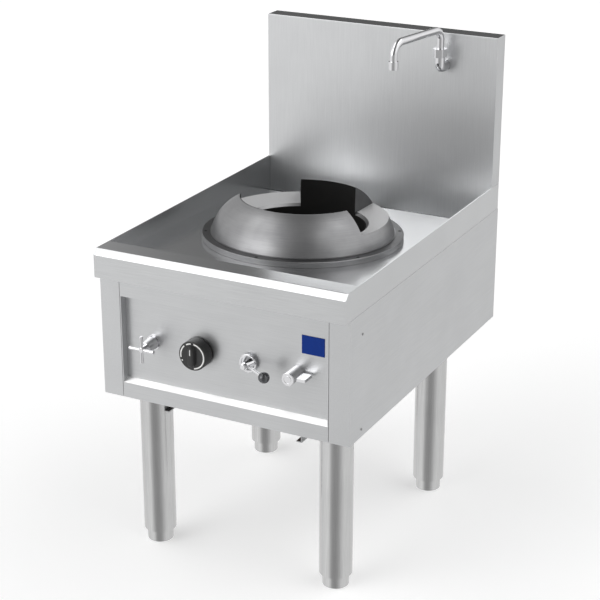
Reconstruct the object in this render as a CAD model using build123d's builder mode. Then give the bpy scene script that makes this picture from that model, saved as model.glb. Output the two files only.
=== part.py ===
from build123d import *
from math import cos, radians, sin, tan
import os

os.makedirs("parts", exist_ok=True)

# Gas wok range with one burner. Millimetres, +Z up, the front faces -Y.
# The origin lies on the floor, under the middle of the worktop.

# ---- overall sizes
width = 600.0  # across the side panels
depth = 836.0  # worktop, front to back
rim_height = 732.0  # floor to worktop rim
splash_rise = 359.0  # rim to the top of the backsplash
splash_depth = 46.0
body_height = 343.0  # rim to the underside of the body
apron_drop = 63.5  # rim to the lower edge of the apron
overhang = 22.0  # worktop in front of the body
reveal = 1.0  # side panels stand proud of the apron
rest_gap = 0.3  # between pieces that rest on each other
run_gap = 0.05  # radial, between a shaft and its bore
hole_gap = 0.5  # radial, between a pipe or shank and its hole

# ---- sheet thicknesses
deck_sheet = 2.0
panel_sheet = 1.5
frame_sheet = 3.0

# ---- worktop
bevel = 12.0
strip_depth = 63.0  # flat strip along the front, with the bevel
step_drop = 34.0  # strip down to the floor of the deck
deck_tilt = 2.0  # degrees, falling to the back
rim_width = 3.0
gutter_width = 95.6
gutter_depth = 50.0
gutter_lip = 17.0  # how far the gutter's back wall rises
bend_radius = 3.0
outer_bend = 1.4  # rounded folds of the side panels and the backsplash

# ---- body panels
post_width = 48.0
seam = 1.0
fold = 20.0
small_fold = 9.0
recess_edge = 2.0  # bezel metal beside the recess
upper_rail = 42.0
recess_height = 201.9
recess_depth = 18.0
ledge_rise = 6.9
panel_lap = 8.0

# ---- plain plate on the control panel
badge_width = 52.5
badge_height = 41.0
badge_side = 15.75  # plate to the side of the recess
badge_drop = 14.2  # recess top to the plate
badge_sheet = 1.0

# ---- base frame, rails and legs
frame_inset = 4.0
opening_gap = 6.5  # leg plates to the opening under the burner
opening_front = 56.0
opening_back = 770.0
upstand = 25.0
rail_drop = 34.0  # body underside to the rail's lower face
rail_flange = 13.2
rail_sheet = 2.2
rail_front = 57.5
rail_back = 668.0
leg_radius = 37.0
leg_wall = 2.0
leg_inset = 74.0  # side of the body to the leg axis
leg_front = 114.5
leg_back = 628.5
leg_cap = 6.0
leg_plate = 96.0
leg_plate_sheet = 5.0
leg_bolt = 6.0
leg_bolt_head = 10.0
leg_bolt_head_height = 7.5
leg_nut_width = 19.0
leg_nut_height = 10.0
bolt_end = 4.0
foot_height = 30.0
foot_radius = 30.0
foot_round = 3.0
stud_radius = 8.0
stud_length = 75.0
plug_length = 40.0

# ---- wok ring and its flange, measured square to the sloping floor
ring_setback = 394.5  # worktop front to ring centre
deck_hole = 150.0
flange_inner = 196.0
flange_outer = 227.3
flange_height = 13.0
flange_screw_circle = 219.0
flange_screw_count = 6
flange_screw = 2.5
screw_head = 4.5
screw_socket = 1.6
ring_bore = 141.0
ring_wall = 2.5
ring_base = 207.0
ring_lip = 1.6
ring_lip_height = 2.1
ring_top = 94.0
ledge_outer = 192.0
ledge_outer_height = 50.0
ledge_inner = 148.0
ledge_inner_height = 35.0
ring_skirt = 10.3  # how far the bore wall reaches below the flange's top
notch_start = -21.5  # degrees from +X, and mirrored on the other side
notch_sweep = 82.0
end_plate_angle = 0.9

# ---- firebox and burner
firebox_wall = 2.0
firebox_depth = 205.0
firebox_floor_hole = 102.0
flame_gap = 7.0  # pilot and sensor stand this far outside the burner
bracket_width = 40.0
bracket_sheet = 3.0
post_radius = 15.0
post_height = 69.5
bowl_foot = 30.0
bowl_radius = 82.0
bowl_cone = 45.0
bowl_height = 70.0
bowl_wall = 6.0
mixer_rise = 24.7
mixer_radius = 21.0
mixer_bore = 16.0
mixer_length = 200.0
bell_radius = 28.0
bell_length = 6.0
air_hole = 4.2
air_hole_circle = 10.8
shutter_wall = 3.0
shutter_length = 24.0
shutter_window = 12.0
cap_height = 12.0
cap_spigot = 4.0
port_radius = 3.0
port_count = 16
port_circles = (28.0, 46.0, 64.0)
injector_radius = 11.0
injector_length = 24.0
nozzle_radius = 5.0

# ---- controls
control_drop = 206.0  # rim to the line of the controls
cross_gap = 69.6  # side of the recess to the tap axis
wing_gap = 78.7
knob_x = -65.6
lever_x = 57.0
valve_width = 40.0
valve_depth = 50.0
tap_radius = 14.0
tap_depth = 46.0
shank_radius = 9.5
stem_radius = 4.0
stem_depth = 30.0  # how far a stem reaches behind the panel face
pipe_radius = 10.65
thread_radius = 10.4  # pipe ends, drawn plain
thread_length = 15.0
pipe_bore = 8.0
branch_radius = 8.0
branch_bore = 6.0
pilot_radius = 3.0
sensor_radius = 1.5
pipe_bend = 25.0
tight_bend = 12.0

bonnet_flange = 16.5
bonnet_flange_length = 5.0
bonnet_groove = 13.0
bonnet_groove_length = 3.0
bonnet_base = 15.0
bonnet_tip = 11.5
bonnet_length = 36.0
neck_radius = 6.0
neck_length = 7.0
cross_hub = 6.5
cross_hub_length = 10.0
arm_setback = 6.5  # back of the hub to the arms
cross_arm = 31.0
arm_root = 2.8
arm_tip = 4.2

knob_radius = 33.4
knob_face_radius = 33.2
knob_depth = 26.5
knob_stand = 3.5  # gap behind the knob, taken up when it is pushed
knob_wall = 3.0
knob_face = 6.0
knob_boss = 8.0
grip_width = 17.0
grip_length = 48.0
grip_height = 10.0
grip_round = 3.0
mark_radius = 28.0
mark_width = 2.8
mark_height = 0.6
mark_arcs = ((96.0, 24.0), (133.0, 60.0), (205.0, 6.0), (-82.0, 164.0))
pointer_width = 1.6
pointer_inner = 5.0
pointer_outer = 18.0

lever_base = 16.0
lever_base_length = 6.0
hub_disc = 20.4
hub_disc_length = 3.5
hub_back = 17.0
hub_tip = 8.5
hub_cone_length = 15.0
nub_radius = 6.8
nub_length = 7.0
rod_setback = 16.0  # panel face to the rod's axis at the hub
rod_radius = 3.4
rod_reach = 63.5
rod_drop = 7.7  # degrees below level
rod_lean = 25.2  # degrees forward
ball_radius = 12.2

wing_base = 13.8
wing_base_length = 3.5
wing_radius = 14.4
wing_length = 40.8
wing_reach = 37.0
wing_depth = 32.0
wing_inset = 7.0
wing_sheet = 6.4
face_ring = 9.0
face_groove = 0.5

# ---- pipe routes, as distances behind the worktop front and from the body
manifold_setback = 70.0
inlet_inset = 70.0  # side of the body to the inlet pipes
inlet_rise = 81.0  # body underside to the inlet pipes
water_rise = 64.0  # controls to the water manifold
stub_reach = 15.24  # pipe stubs behind the back panel
feed_setback = 130.0
spout_feed_setback = 145.0
pilot_setback = 118.0
pilot_run_rise = 46.0  # body underside to the pilot pipe
pilot_rise = 35.0
rinse_setback = 113.0
rinse_run_drop = 77.0  # rim to the rinse pipe
rinse_bar_setback = 43.0
rinse_bar_drop = 19.0
rinse_bar_margin = 60.0  # side of the body to the end of the rinse bar
nozzle_count = 5
nozzle_pitch = 100.0
rinse_nozzle = 4.0
shield_width = 300.0
shield_setback = 165.0
shield_drop = 195.0

# ---- spout
spout_inset = 129.0  # side of the body to the swivel axis
spout_stand = 35.0  # backsplash face to the swivel axis
elbow_radius = 12.0
elbow_bore = 7.5
elbow_bend = 16.0
elbow_drop = 76.0  # backsplash top to the elbow
elbow_rise = 34.5
tail_length = 38.0
nut_width = 30.0
nut_height = 19.7
nut_overlap = 8.0
nut_cavity = 11.0
collar_height = 2.4
spout_radius = 8.65
spout_bore = 6.5
spout_rise = 56.0  # collar to the arm's centre line
spout_back = 184.7
spout_side = 34.8
spout_fall = 40.0
spout_bend = 22.0
spout_end_bend = 30.0
sleeve_radius = 11.0
sleeve_height = 18.5
backnut_height = 7.0

# ---- drain
drain_hole = 32.0
drain_rim = 40.0
drain_rim_height = 2.0
drain_wall = 2.5
drain_cup = 66.0
drain_cone = 20.0
drain_pipe = 25.0
drain_reach = 49.0  # body underside to the end of the drain pipe
drain_spigot = 40.0
drain_bead = 27.0
drain_bead_height = 5.0
strainer_radius = 27.0
strainer_depth = 25.0
strainer_wall = 1.5
strainer_rim = 36.0
strainer_hole = 2.2

side_screw_setback = 79.0
side_screw_rise = 17.5  # body underside to the lower screw
side_screw_drop = 46.7  # body top to the upper screw
side_screw = 1.6
side_screw_head = 3.0
side_screw_head_height = 1.0
side_screw_length = 10.0

# ---- places worked out from the sizes above
front = -depth / 2
back = depth / 2
body_half = width / 2
top_half = body_half - reveal
inner_half = top_half - rim_width
body_base = rim_height - body_height
apron_z = rim_height - apron_drop
body_top = apron_z - rest_gap
body_front = front + overhang
splash_front = back - splash_depth
splash_top = rim_height + splash_rise
strip_back = front + strip_depth
gutter_front = splash_front - gutter_width
floor_front_z = rim_height - step_drop


def floor_z(y):
    return floor_front_z - (y - strip_back) * tan(radians(deck_tilt))


gutter_z = floor_z(gutter_front) - gutter_depth
seam_z = gutter_z + gutter_lip
panel_y = body_front + recess_depth
behind_panel = panel_y + panel_sheet
bezel_half = body_half - post_width - seam
recess_half = bezel_half - recess_edge
recess_top = body_top - upper_rail
recess_bottom = recess_top - recess_height
ledge_back_z = recess_bottom + ledge_rise
control_z = rim_height - control_drop
cross_x = -recess_half + cross_gap
wing_x = recess_half - wing_gap
badge_x = recess_half - badge_side - badge_width / 2
badge_z = recess_top - badge_drop - badge_height / 2
leg_x = body_half - leg_inset
inlet_x = body_half - inlet_inset
inlet_z = body_base + inlet_rise
water_z = control_z + water_rise
pilot_z = body_base + pilot_run_rise
rinse_run_z = rim_height - rinse_run_drop
spout_x = body_half - spout_inset
elbow_z = splash_top - elbow_drop
drain_outlet_z = body_base - drain_reach
side_screw_low = body_base + side_screw_rise
side_screw_high = body_top - side_screw_drop
frame_z = body_base + panel_sheet + rest_gap
frame_top = frame_z + frame_sheet
ring_y = front + ring_setback
deck_normal = Vector(0, sin(radians(deck_tilt)), cos(radians(deck_tilt)))
deck_plane = Plane(origin=(0, ring_y, floor_z(ring_y)), x_dir=(1, 0, 0), z_dir=deck_normal)
deck_axis = Axis(deck_plane.origin, deck_normal)
manifold_y = front + manifold_setback
stub_y = back + stub_reach
thread_y = stub_y - thread_length
spout_y = splash_front - spout_stand
leg_places = {
    "front_left": (-leg_x, front + leg_front),
    "front_right": (leg_x, front + leg_front),
    "rear_left": (-leg_x, front + leg_back),
    "rear_right": (leg_x, front + leg_back),
}
pieces = {}


def block(x0, x1, y0, y1, z0, z1, mode=Mode.ADD):
    """A box between two corners, in the open part."""
    with Locations(((x0 + x1) / 2, (y0 + y1) / 2, (z0 + z1) / 2)):
        Box(abs(x1 - x0), abs(y1 - y0), abs(z1 - z0), mode=mode)


def round_y(x, z, y0, y1, radius, tip=None, mode=Mode.ADD):
    """A cylinder or cone along Y, from y0 to y1."""
    with Locations(Location((x, (y0 + y1) / 2, z), (-90, 0, 0))):
        if tip is None:
            Cylinder(radius, y1 - y0, mode=mode)
        else:
            Cone(radius, tip, y1 - y0, mode=mode)


def round_z(x, y, z0, z1, radius, tip=None, mode=Mode.ADD):
    """A cylinder or cone along Z, from z0 to z1."""
    with Locations((x, y, (z0 + z1) / 2)):
        if tip is None:
            Cylinder(radius, z1 - z0, mode=mode)
        else:
            Cone(radius, tip, z1 - z0, mode=mode)


def pipe(points, bends, radius, bore=0.0):
    """A round pipe along straight runs with rounded corners."""
    with BuildLine(mode=Mode.PRIVATE) as route:
        FilletPolyline(*points, radius=bends)
    with BuildSketch(Plane(route.line @ 0, z_dir=route.line % 0), mode=Mode.PRIVATE) as section:
        Circle(radius)
        if bore:
            Circle(bore, mode=Mode.SUBTRACT)
    sweep(section.sketch, path=route.line)


def collar(outer, inner, low, high):
    """A round collar about the ring's axis, between two heights above the sloping floor."""
    with BuildSketch(deck_plane.offset(low), mode=Mode.PRIVATE) as section:
        Circle(outer)
        Circle(inner, mode=Mode.SUBTRACT)
    extrude(section.sketch, amount=high - low)


def pipe_thread(x):
    """The turned-down end of an inlet pipe, behind the back panel."""
    round_y(x, inlet_z, thread_y, stub_y, thread_radius)
    round_y(x, inlet_z, thread_y - 1, stub_y + 1, pipe_bore, mode=Mode.SUBTRACT)


def radial_plane(angle):
    """Upright plane through the ring's axis; local x is the radius, local y the height."""
    turn = radians(angle)
    outward = deck_plane.x_dir * cos(turn) + deck_plane.y_dir * sin(turn)
    return Plane(origin=deck_plane.origin, x_dir=outward, z_dir=outward.cross(deck_normal))


# ---- worktop and backsplash

deck_points = [
    (front, apron_z),
    (front, rim_height - bevel),
    (front + bevel, rim_height),
    (strip_back, rim_height),
    (strip_back, floor_front_z),
    (gutter_front, floor_z(gutter_front)),
    (gutter_front, gutter_z),
    (splash_front, gutter_z),
    (splash_front, seam_z),
]
drain_y = (gutter_front + splash_front) / 2
nozzle_span = nozzle_pitch * (nozzle_count - 1)
nozzle_places = [(nozzle_pitch * i - nozzle_span / 2) for i in range(nozzle_count)]
rinse_bar_z = rim_height - rinse_bar_drop

with BuildPart() as worktop:
    with BuildSketch(Plane.YZ):
        with BuildLine():
            surface = FilletPolyline(*deck_points, radius=bend_radius)
            offset(surface, amount=deck_sheet, side=Side.RIGHT)
        make_face()
    extrude(amount=inner_half, both=True)
    for side in (-1, 1):
        with BuildSketch(Plane.YZ.offset(side * inner_half)):
            with BuildLine():
                Polyline(*deck_points[:3], (back, rim_height), (back, apron_z), close=True)
            make_face()
        extrude(amount=side * rim_width)
        block(
            side * inner_half,
            side * (inner_half + deck_sheet),
            gutter_front - deck_sheet,
            splash_front + deck_sheet,
            gutter_z - deck_sheet,
            apron_z + deck_sheet,
        )
    with Locations(deck_plane.location):
        Cylinder(deck_hole, 4 * deck_sheet, mode=Mode.SUBTRACT)
        with PolarLocations(flange_screw_circle, flange_screw_count, start_angle=30):
            Cylinder(flange_screw + run_gap, 4 * deck_sheet, mode=Mode.SUBTRACT)
    round_z(0, drain_y, gutter_z - 2 * deck_sheet, gutter_z + deck_sheet, drain_hole, mode=Mode.SUBTRACT)
    for x in nozzle_places:
        round_y(
            x,
            rinse_bar_z,
            strip_back - 2 * deck_sheet,
            strip_back + deck_sheet,
            rinse_nozzle + rest_gap,
            mode=Mode.SUBTRACT,
        )
pieces["worktop"] = worktop.part

splash_base = rim_height + rest_gap
with BuildPart() as backsplash:
    block(-top_half, top_half, splash_front, back, splash_base, splash_top)
    block(
        -top_half + panel_sheet,
        top_half - panel_sheet,
        splash_front + panel_sheet,
        back - panel_sheet,
        splash_base - panel_sheet,
        splash_top - panel_sheet,
        mode=Mode.SUBTRACT,
    )
    outer_faces = backsplash.faces().filter_by(Axis.Z).sort_by(Axis.Z)[-1]
    fillet(outer_faces.edges(), outer_bend)
    block(
        -inner_half + rest_gap,
        inner_half - rest_gap,
        splash_front,
        splash_front + panel_sheet,
        seam_z + rest_gap,
        splash_base + panel_sheet,
    )
    round_y(
        spout_x,
        elbow_z,
        splash_front - panel_sheet,
        splash_front + 2 * panel_sheet,
        elbow_radius + hole_gap,
        mode=Mode.SUBTRACT,
    )
pieces["backsplash"] = backsplash.part

# ---- body panels

side_screw_y = front + side_screw_setback
for side, label in ((-1, "side_panel_left"), (1, "side_panel_right")):
    outer = side * body_half
    with BuildPart() as side_panel:
        block(outer - side * panel_sheet, outer, body_front, back, body_base, body_top)
        block(outer - side * post_width, outer, body_front, body_front + panel_sheet, body_base, body_top)
        inner_edge = outer - side * post_width
        block(
            inner_edge,
            inner_edge + side * panel_sheet,
            body_front,
            body_front + small_fold,
            body_base,
            body_top,
        )
        block(outer - side * fold, outer, body_front, back, body_top - panel_sheet, body_top)
        block(outer - side * fold, outer, body_front, back, body_base, body_base + panel_sheet)
        top_edges = side_panel.edges().filter_by(Axis.Y).group_by(Axis.Z)[-1]
        fillet(max(top_edges, key=lambda edge: abs(edge.center().X)), outer_bend)
        # the worktop's gutter ends hang inside the panel
        block(
            side * (inner_half - fold),
            side * (inner_half + deck_sheet + rest_gap),
            gutter_front - 2 * deck_sheet,
            splash_front + 2 * deck_sheet,
            body_top - 2 * panel_sheet,
            body_top + panel_sheet,
            mode=Mode.SUBTRACT,
        )
        with Locations(
            Location((outer, side_screw_y, side_screw_low), (0, 90, 0)),
            Location((outer, side_screw_y, side_screw_high), (0, 90, 0)),
        ):
            Cylinder(side_screw + run_gap, 4 * panel_sheet, mode=Mode.SUBTRACT)
    pieces[label] = side_panel.part

with BuildPart() as side_screws:
    for side in (-1, 1):
        for z in (side_screw_low, side_screw_high):
            with Locations(Location((side * body_half, side_screw_y, z), (0, 90 * side, 0))):
                Cylinder(side_screw, side_screw_length, align=(Align.CENTER, Align.CENTER, Align.MAX))
                Cylinder(
                    side_screw_head,
                    side_screw_head_height,
                    align=(Align.CENTER, Align.CENTER, Align.MIN),
                )
    heads = side_screws.edges().filter_by(GeomType.CIRCLE).group_by(SortBy.RADIUS)[-1]
    fillet([e for e in heads if abs(e.center().X) > body_half + side_screw_head_height / 2], 0.7)
pieces["side_screws"] = side_screws.part

back_half = body_half - panel_sheet - rest_gap
with BuildPart() as back_panel:
    block(-back_half, back_half, back - panel_sheet, back, frame_z, body_top)
    block(
        -inner_half + rest_gap,
        inner_half - rest_gap,
        back - panel_sheet,
        back,
        body_top,
        rim_height,
    )
    # the side panels' folds reach the back edge
    for side in (-1, 1):
        block(
            side * (body_half - fold - rest_gap),
            side * body_half,
            back - 2 * panel_sheet,
            back + panel_sheet,
            body_top - panel_sheet - rest_gap,
            body_top,
            mode=Mode.SUBTRACT,
        )
    inlet_hole = pipe_radius + hole_gap
    for x in (-inlet_x, inlet_x):
        round_y(x, inlet_z, back - 2 * panel_sheet, back + panel_sheet, inlet_hole, mode=Mode.SUBTRACT)
pieces["back_panel"] = back_panel.part

bezel_back = panel_y - rest_gap
with BuildPart() as front_bezel:
    block(-bezel_half, bezel_half, body_front, body_front + panel_sheet, body_base, body_top)
    block(-bezel_half, bezel_half, body_front, body_front + small_fold, body_top - panel_sheet, body_top)
    block(
        -bezel_half,
        bezel_half,
        body_front,
        body_front + small_fold,
        body_base,
        body_base + panel_sheet,
    )
    block(
        -recess_half - panel_sheet,
        recess_half + panel_sheet,
        body_front,
        bezel_back,
        recess_bottom - panel_sheet,
        recess_top + panel_sheet,
    )
    block(
        -recess_half,
        recess_half,
        body_front - panel_sheet,
        bezel_back + panel_sheet,
        recess_bottom,
        recess_top,
        mode=Mode.SUBTRACT,
    )
    with BuildSketch(Plane.YZ):
        with BuildLine():
            Polyline(
                (body_front, recess_bottom),
                (bezel_back, ledge_back_z),
                (bezel_back, recess_bottom - panel_sheet),
                (body_front, recess_bottom - panel_sheet),
                close=True,
            )
        make_face()
    extrude(amount=recess_half + panel_sheet, both=True)
pieces["front_bezel"] = front_bezel.part

panel_half = bezel_half - recess_edge + panel_lap
with BuildPart() as control_panel:
    block(
        -panel_half,
        panel_half,
        panel_y,
        behind_panel,
        ledge_back_z - panel_lap,
        recess_top + panel_lap,
    )
    for x in (cross_x, knob_x, lever_x, wing_x):
        round_y(x, control_z, panel_y - 1, behind_panel + 1, shank_radius + hole_gap, mode=Mode.SUBTRACT)
pieces["control_panel"] = control_panel.part

with BuildPart() as badge_plate:
    block(
        badge_x - badge_width / 2,
        badge_x + badge_width / 2,
        panel_y - badge_sheet,
        panel_y,
        badge_z - badge_height / 2,
        badge_z + badge_height / 2,
    )
pieces["badge_plate"] = badge_plate.part

# ---- base frame, rails, legs and feet

frame_half = body_half - frame_inset
opening_half = leg_x - leg_plate / 2 - opening_gap
opening_y0 = front + opening_front
opening_y1 = front + opening_back
with BuildPart() as base_frame:
    block(
        -frame_half,
        frame_half,
        body_front + small_fold + rest_gap,
        back - panel_sheet - rest_gap,
        frame_z,
        frame_top,
    )
    block(
        -opening_half - frame_sheet,
        opening_half + frame_sheet,
        opening_y0 - frame_sheet,
        opening_y1 + frame_sheet,
        frame_z,
        frame_top + upstand,
    )
    block(
        -opening_half,
        opening_half,
        opening_y0,
        opening_y1,
        frame_z - frame_sheet,
        frame_top + upstand + frame_sheet,
        mode=Mode.SUBTRACT,
    )
    with Locations(*[(x, y, frame_z) for x, y in leg_places.values()]):
        Cylinder(leg_bolt + hole_gap, 4 * frame_sheet, mode=Mode.SUBTRACT)
pieces["base_frame"] = base_frame.part

rail_z = body_base - rail_drop
rail_outer = opening_half - rest_gap
with BuildPart() as burner_rails:
    for side in (-1, 1):
        block(
            side * (rail_outer - rail_sheet),
            side * rail_outer,
            front + rail_front,
            front + rail_back,
            rail_z,
            frame_top + upstand / 2,
        )
        block(
            side * (rail_outer - rail_flange),
            side * rail_outer,
            front + rail_front,
            front + rail_back,
            rail_z,
            rail_z + rail_sheet,
        )
pieces["burner_rails"] = burner_rails.part

leg_top = frame_z - rest_gap
plate_z = frame_top + rest_gap
nut_z = plate_z + leg_plate_sheet
leg_spots = list(leg_places.values())
with BuildPart() as leg_plates:
    with Locations(*[(x, y, plate_z) for x, y in leg_spots]):
        Box(leg_plate, leg_plate, leg_plate_sheet, align=(Align.CENTER, Align.CENTER, Align.MIN))
        Cylinder(leg_bolt + hole_gap, 4 * leg_plate_sheet, mode=Mode.SUBTRACT)
pieces["leg_plates"] = leg_plates.part

with BuildPart() as leg_bolts:
    for x, y in leg_spots:
        round_z(x, y, leg_top - leg_cap - leg_bolt_head_height, leg_top - leg_cap, leg_bolt_head)
        round_z(x, y, leg_top - leg_cap, nut_z + leg_nut_height + bolt_end, leg_bolt)
pieces["leg_bolts"] = leg_bolts.part

with BuildPart() as leg_nuts:
    with BuildSketch(Plane.XY.offset(nut_z)):
        with Locations(*leg_spots):
            RegularPolygon(leg_nut_width / 2, 6, major_radius=False)
            Circle(leg_bolt + run_gap, mode=Mode.SUBTRACT)
    extrude(amount=leg_nut_height)
pieces["leg_nuts"] = leg_nuts.part

with BuildPart() as leg_plugs:
    for x, y in leg_spots:
        round_z(x, y, foot_height, foot_height + plug_length, leg_radius - leg_wall - run_gap)
        round_z(x, y, 0, foot_height + 2 * plug_length, stud_radius + run_gap, mode=Mode.SUBTRACT)
pieces["leg_plugs"] = leg_plugs.part

for place, (x, y) in leg_places.items():
    with BuildPart() as leg:
        round_z(x, y, foot_height, leg_top, leg_radius)
        round_z(x, y, foot_height - 1, leg_top - leg_cap, leg_radius - leg_wall, mode=Mode.SUBTRACT)
        round_z(x, y, leg_top - 2 * leg_cap, leg_top + 1, leg_bolt + hole_gap, mode=Mode.SUBTRACT)
    pieces[f"leg_{place}"] = leg.part

    with BuildPart() as foot:
        foot_top = foot_height - rest_gap
        with BuildSketch(Plane.XZ.offset(-y)):
            with BuildLine():
                Polyline(
                    (x + foot_radius - foot_round, 0),
                    (x, 0),
                    (x, foot_top + stud_length),
                    (x + stud_radius, foot_top + stud_length),
                    (x + stud_radius, foot_top),
                    (x + foot_radius, foot_top),
                    (x + foot_radius, foot_round),
                )
                TangentArc(
                    (x + foot_radius, foot_round),
                    (x + foot_radius - foot_round, 0),
                    tangent=(0, -1),
                )
            make_face()
        revolve(axis=Axis((x, y, 0), (0, 0, 1)))
    pieces[f"foot_{place}"] = foot.part

# ---- wok ring, flange and firebox

with BuildPart() as ring_flange:
    collar(flange_outer, flange_inner, rest_gap, flange_height)
    outer_edges = ring_flange.edges().filter_by(GeomType.CIRCLE).group_by(SortBy.RADIUS)[-1]
    fillet(outer_edges.sort_by(deck_axis)[-1], 1.5)
    with Locations(deck_plane.location):
        with PolarLocations(flange_screw_circle, flange_screw_count, start_angle=30):
            with Locations((0, 0, flange_height)):
                CounterSinkHole(flange_screw + run_gap, screw_head, 2 * flange_height)
pieces["ring_flange"] = ring_flange.part

with BuildPart() as flange_screws:
    screw_length = flange_height + deck_sheet + 3 * firebox_wall
    shank_edge = flange_screw_circle + flange_screw
    for index in range(flange_screw_count):
        turn = 30 + 360 / flange_screw_count * index
        with BuildSketch(radial_plane(turn)):
            with BuildLine():
                Polyline(
                    (flange_screw_circle, flange_height - screw_socket),
                    (flange_screw_circle + screw_socket, flange_height - screw_socket),
                    (flange_screw_circle + screw_socket, flange_height),
                    (flange_screw_circle + screw_head - rest_gap, flange_height),
                    (shank_edge, flange_height + flange_screw - screw_head + rest_gap),
                    (shank_edge, flange_height - screw_length),
                    (flange_screw_circle, flange_height - screw_length),
                    close=True,
                )
            make_face()
        spot = radial_plane(turn).from_local_coords((flange_screw_circle, 0, 0))
        revolve(axis=Axis(spot, deck_normal))
pieces["flange_screws"] = flange_screws.part

seat = flange_height + rest_gap
shoulder = seat + ring_lip_height


def ring_outline(shrink):
    """The ring's full cross-section as radius and height; shrink gives the hollow inside it."""
    with BuildSketch() as outline:
        with BuildLine():
            ThreePointArc(
                (ring_base, shoulder),
                (ledge_outer, ledge_outer_height),
                (ring_bore + ring_wall, ring_top),
            )
            Polyline(
                (ring_bore + ring_wall, ring_top),
                (ring_bore, ring_top),
                (ring_bore, seat),
                (ring_base, seat),
                (ring_base, shoulder),
            )
        make_face()
        if shrink:
            offset(amount=-shrink)
    return outline.sketch


def above_ledge(drop):
    """The part of the cross-section that a notch takes away, lowered for the hollow inside."""
    slope = (ledge_outer_height - ledge_inner_height) / (ledge_outer - ledge_inner)
    near = ring_bore - 2 * ring_wall
    far = ring_base + ring_wall
    low = ledge_inner_height - drop
    with BuildSketch() as above:
        with BuildLine():
            Polyline(
                (near, 2 * ring_top),
                (far, 2 * ring_top),
                (far, low + slope * (far - ledge_inner)),
                (ledge_inner, low),
                (near, low + near - ledge_inner),
                close=True,
            )
        make_face()
    return above.sketch


def ring_sheet(cut):
    """The sheet-metal section, open underneath; cut gives the low one of the notches."""
    full = ring_outline(0)
    hollow = ring_outline(ring_wall)
    notch = above_ledge(0)
    lowered = above_ledge(ring_wall)
    with BuildSketch() as inside:
        add(hollow)
        if cut:
            add(lowered, mode=Mode.SUBTRACT)
    with BuildSketch() as sheet:
        add(full)
        if cut:
            add(notch, mode=Mode.SUBTRACT)
        add(inside.sketch, mode=Mode.SUBTRACT)
        with Locations(((ring_bore + ring_base) / 2, seat)):
            Rectangle(ring_base - ring_bore - 2 * ring_wall, 4 * ring_wall, mode=Mode.SUBTRACT)
        with Locations((ring_base + (ring_lip - ring_wall) / 2, (seat + shoulder) / 2)):
            Rectangle(ring_lip + ring_wall, ring_lip_height)
        with Locations((ring_bore + ring_wall / 2, seat + (ring_wall - ring_skirt) / 2)):
            Rectangle(ring_wall, ring_wall + ring_skirt)
    return sheet.sketch


with BuildSketch() as end_plate:
    add(ring_outline(0))
    add(above_ledge(ring_wall), mode=Mode.INTERSECT)

high_start = notch_start + notch_sweep
high_sheet = ring_sheet(cut=False)
low_sheet = ring_sheet(cut=True)
ring_sectors = (
    (low_sheet, notch_start, notch_sweep),
    (high_sheet, high_start, 180 - 2 * high_start),
    (low_sheet, 180 - high_start, notch_sweep),
    (high_sheet, 180 - notch_start, 180 + 2 * notch_start),
    (end_plate.sketch, notch_start - end_plate_angle, end_plate_angle),
    (end_plate.sketch, high_start, end_plate_angle),
    (end_plate.sketch, 180 - high_start - end_plate_angle, end_plate_angle),
    (end_plate.sketch, 180 - notch_start, end_plate_angle),
)
with BuildPart() as wok_ring:
    for section, start, arc in ring_sectors:
        revolve(radial_plane(start).location * section, axis=deck_axis, revolution_arc=arc)
pieces["wok_ring"] = wok_ring.part

firebox_top = -deck_sheet - rest_gap
firebox_base = firebox_top - firebox_depth
with BuildPart() as firebox:
    collar(deck_hole + firebox_wall, deck_hole, firebox_base, firebox_top)
    collar(flange_outer, deck_hole, firebox_top - firebox_wall, firebox_top)
    collar(deck_hole + firebox_wall, firebox_floor_hole, firebox_base, firebox_base + firebox_wall)
    with Locations(deck_plane.location):
        with PolarLocations(flange_screw_circle, flange_screw_count, start_angle=30):
            Cylinder(flange_screw + run_gap, 8 * deck_sheet, mode=Mode.SUBTRACT)
pieces["firebox"] = firebox.part

shield_y = front + shield_setback
shield_top = floor_z(shield_y) - deck_sheet - rest_gap - panel_sheet * tan(radians(deck_tilt))
with BuildPart() as heat_shield:
    block(
        -shield_width / 2,
        shield_width / 2,
        shield_y - panel_sheet,
        shield_y,
        shield_top - shield_drop,
        shield_top,
    )
pieces["heat_shield"] = heat_shield.part

# ---- burner

bracket_z = rail_z + rail_sheet + rest_gap
bracket_half = rail_outer - rail_sheet - rest_gap
bowl_z = bracket_z + bracket_sheet + post_height + rest_gap
with BuildPart() as burner_bracket:
    block(
        -bracket_half,
        bracket_half,
        ring_y - bracket_width / 2,
        ring_y + bracket_width / 2,
        bracket_z,
        bracket_z + bracket_sheet,
    )
    round_z(0, ring_y, bracket_z, bowl_z - rest_gap, post_radius)
pieces["burner_bracket"] = burner_bracket.part

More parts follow.
